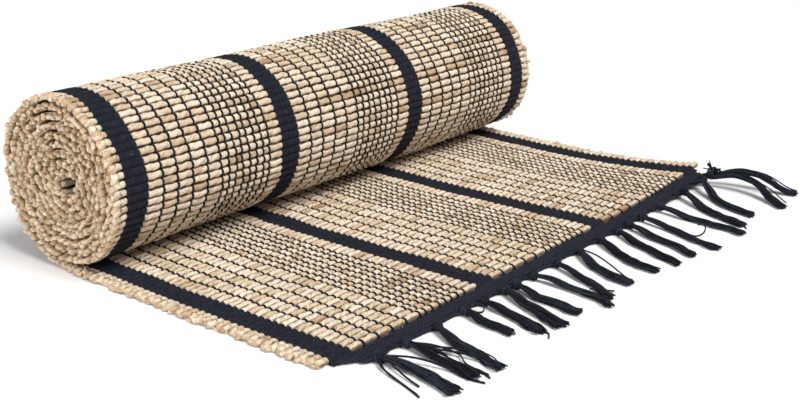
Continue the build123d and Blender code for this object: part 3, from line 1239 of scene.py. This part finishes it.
class RUG_OT_core(Operator):
    """Makes the band and the fringe that are wound up in the roll's core"""

    bl_idname = "rug.core"
    bl_label = "Core band and fringe"

    def execute(self, context):
        band, fringe = Skin(), Skin()
        inner_band_and_fringe(band, fringe, 75)
        band.make("core_band", cotton("band_cotton"), ["inner_end_band"], "end_band")
        fringe.make("core_fringe", cotton("fringe_cotton"), ["inner_fringe"], "fringe_yarn")
        return {"FINISHED"}


class RUG_OT_sheet_sizes(Operator):
    """An empty step: it does nothing"""

    bl_idname = "rug.sheet_sizes"
    bl_label = "Sheet sizes"

    def execute(self, context):
        return {"FINISHED"}


FLOOR_SIZE = 30
FLOOR_TONES = (0.90, 0.92)
ROOM_LIGHT = 0.31  # strength of the even white light from all round
OVERHEAD_PLACE, OVERHEAD_SPREAD = (0.15, -1.15, 2.0), 35  # the spread in degrees
SIDE_PLACE, SIDE_SIZE = (-2.3, 0.15, 0.55), 1.4
LIT_PLACE = Vector((0, 0.1, 0.05))  # where both lights point

CAMERA_PLACE = (-1.03142, -0.76624, 0.46818)
CAMERA_TURNS = (38.2955, -19.2791, 1.1170)  # yaw, pitch and roll, in degrees
LENS, SENSOR = 55.61, 36.0


def camera_frame():
    """The camera's place and turn as one matrix."""
    yaw, pitch, roll = (math.radians(turn) for turn in CAMERA_TURNS)
    ahead = Vector((math.cos(yaw) * math.cos(pitch), math.sin(yaw) * math.cos(pitch),
                    math.sin(pitch)))
    level = ahead.cross(Vector((0, 0, 1))).normalized()
    upright = level.cross(ahead)
    right = level * math.cos(roll) + upright * math.sin(roll)
    up = upright * math.cos(roll) - level * math.sin(roll)
    turned = Matrix((right, up, -ahead)).transposed().to_4x4()
    return Matrix.Translation(CAMERA_PLACE) @ turned


def floor_look():
    """A pale, matt studio floor with the faintest unevenness."""
    look = Look("studio_floor")
    where = look.node("ShaderNodeTexCoord", None, None, "Object")
    uneven = look.noise(look.scaled(where, (1.5, 1.5, 1.5)), 2.0)
    base = look.mix(uneven, *(colour((tone, tone, tone)) for tone in FLOOR_TONES))
    return look.finish(Base_Color=base, Roughness=0.9, Specular_IOR_Level=0.1)


class RUG_OT_stage(Operator):
    """Sets the floor, the soft lights and the camera"""

    bl_idname = "rug.stage"
    bl_label = "Stage"

    def execute(self, context):
        scene = context.scene
        bpy.ops.mesh.primitive_plane_add(size=FLOOR_SIZE)
        floor = context.object
        floor.name = "floor"
        floor.data.materials.append(floor_look())

        world = bpy.data.worlds.new("studio")
        world.use_nodes = True
        backdrop = world.node_tree.nodes["Background"]
        backdrop.inputs["Color"].default_value = (1, 1, 1, 1)
        backdrop.inputs["Strength"].default_value = ROOM_LIGHT
        scene.world = world

        sky = bpy.data.lights.new("overhead_light", "SUN")
        sky.energy, sky.angle = settings().key_strength, math.radians(OVERHEAD_SPREAD)
        panel = bpy.data.lights.new("side_light", "AREA")
        panel.size, panel.energy = SIDE_SIZE, settings().side_power
        for lamp, place in ((sky, Vector(OVERHEAD_PLACE)), (panel, Vector(SIDE_PLACE))):
            light = bpy.data.objects.new(lamp.name, lamp)
            turned = (LIT_PLACE - place).to_track_quat("-Z", "Y").to_matrix()
            light.matrix_world = Matrix.Translation(place) @ turned.to_4x4()
            scene.collection.objects.link(light)

        lens = bpy.data.cameras.new("camera")
        lens.lens, lens.sensor_width = LENS, SENSOR
        lens.clip_start, lens.clip_end = 0.01, 100
        camera = bpy.data.objects.new("camera", lens)
        camera.matrix_world = camera_frame()
        scene.collection.objects.link(camera)
        scene.camera = camera
        scene.view_settings.view_transform = "Standard"
        return {"FINISHED"}


STEPS = (
    RUG_OT_fibre_cords,
    RUG_OT_cord_ends,
    RUG_OT_warp_yarns,
    RUG_OT_stripes,
    RUG_OT_end_band,
    RUG_OT_fringe,
    RUG_OT_core,
    RUG_OT_sheet_sizes,
    RUG_OT_stage,
)


class RUG_PT_panel(Panel):
    """The rug's settings, and a button for each of its pieces"""

    bl_idname = "RUG_PT_panel"
    bl_label = "Runner rug"
    bl_space_type = "VIEW_3D"
    bl_region_type = "UI"
    bl_category = "Runner rug"

    def draw(self, context):
        for name in RugSettings.__annotations__:
            self.layout.prop(context.scene.runner_rug, name)
        for step in STEPS:
            self.layout.operator(step.bl_idname)


CLASSES = (RugSettings, *STEPS, RUG_PT_panel)


def register():
    for each in CLASSES:
        bpy.utils.register_class(each)
    bpy.types.Scene.runner_rug = PointerProperty(type=RugSettings)


def unregister():
    del bpy.types.Scene.runner_rug
    for each in reversed(CLASSES):
        bpy.utils.unregister_class(each)


def main():
    register()
    for step in STEPS:
        group, name = step.bl_idname.split(".")
        getattr(getattr(bpy.ops, group), name)()


if __name__ == "__main__":
    main()
